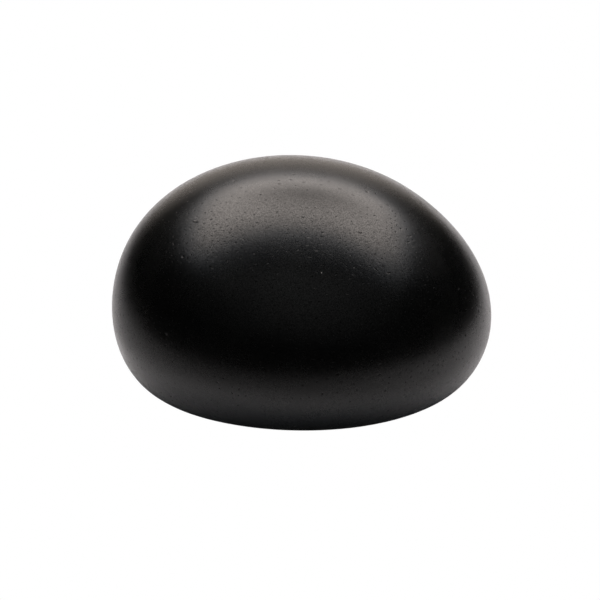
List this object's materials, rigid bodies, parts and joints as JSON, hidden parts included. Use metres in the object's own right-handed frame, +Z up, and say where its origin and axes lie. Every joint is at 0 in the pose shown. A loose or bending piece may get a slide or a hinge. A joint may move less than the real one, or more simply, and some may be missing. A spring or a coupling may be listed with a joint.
{
  "type": "polished black onyx stone",
  "caption": "Smooth black stone, egg-shaped from above with a domed crown, satin polished, resting on its own worn flat base.",
  "frame": {"origin": "on the ground, under the middle of the stone's box", "axes": "+X along the stone's length, towards its broader end; +Y towards its back; +Z up, its shortest way"},
  "size_m": [0.03, 0.0254, 0.018],
  "materials": {
    "polished_onyx": "satin"
  },
  "bodies": {
    "root": {"stone": "polished_onyx"}
  },
  "joints": []
}
